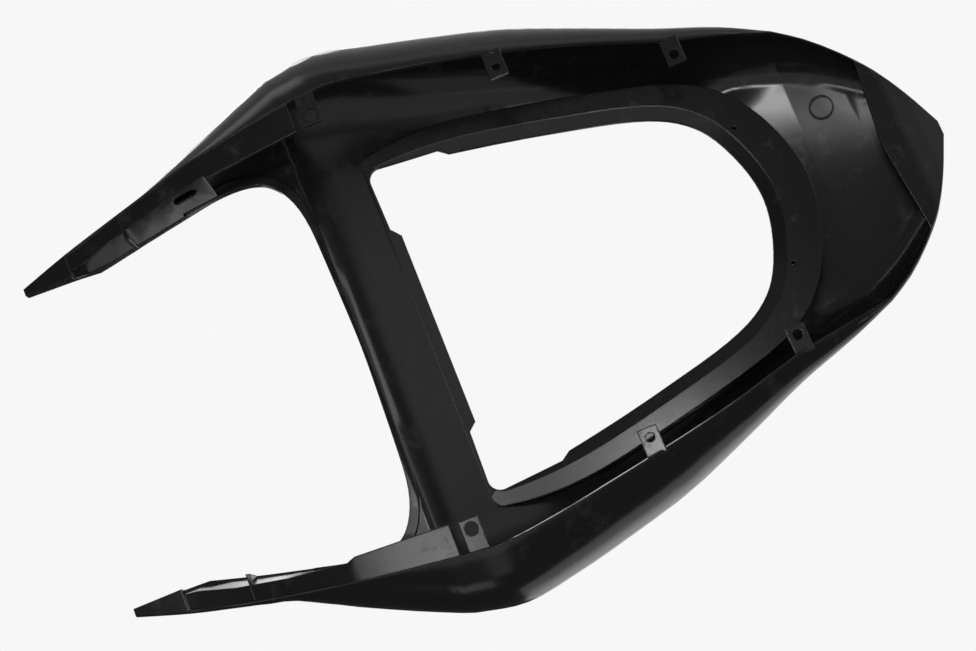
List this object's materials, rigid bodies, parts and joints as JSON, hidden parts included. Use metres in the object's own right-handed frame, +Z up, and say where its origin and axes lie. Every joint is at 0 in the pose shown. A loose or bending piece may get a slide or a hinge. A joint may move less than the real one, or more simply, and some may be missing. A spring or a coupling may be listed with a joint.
{
  "type": "motorcycle tail fairing",
  "caption": "Glossy black moulded tail fairing of a motorcycle, with an opening for the passenger seat, two forward prongs and tabs for the rear frame.",
  "frame": {"origin": "midway between the two front tab holes, on the lower faces of the front tabs", "axes": "+X points forward on the motorcycle, towards the prong tips, +Y to the rider's left, +Z up"},
  "size_m": [0.643, 0.413, 0.119],
  "materials": {
    "black_plastic": "glossy moulded, dyed black"
  },
  "bodies": {
    "root": {"tail_fairing": "black_plastic"}
  },
  "joints": []
}
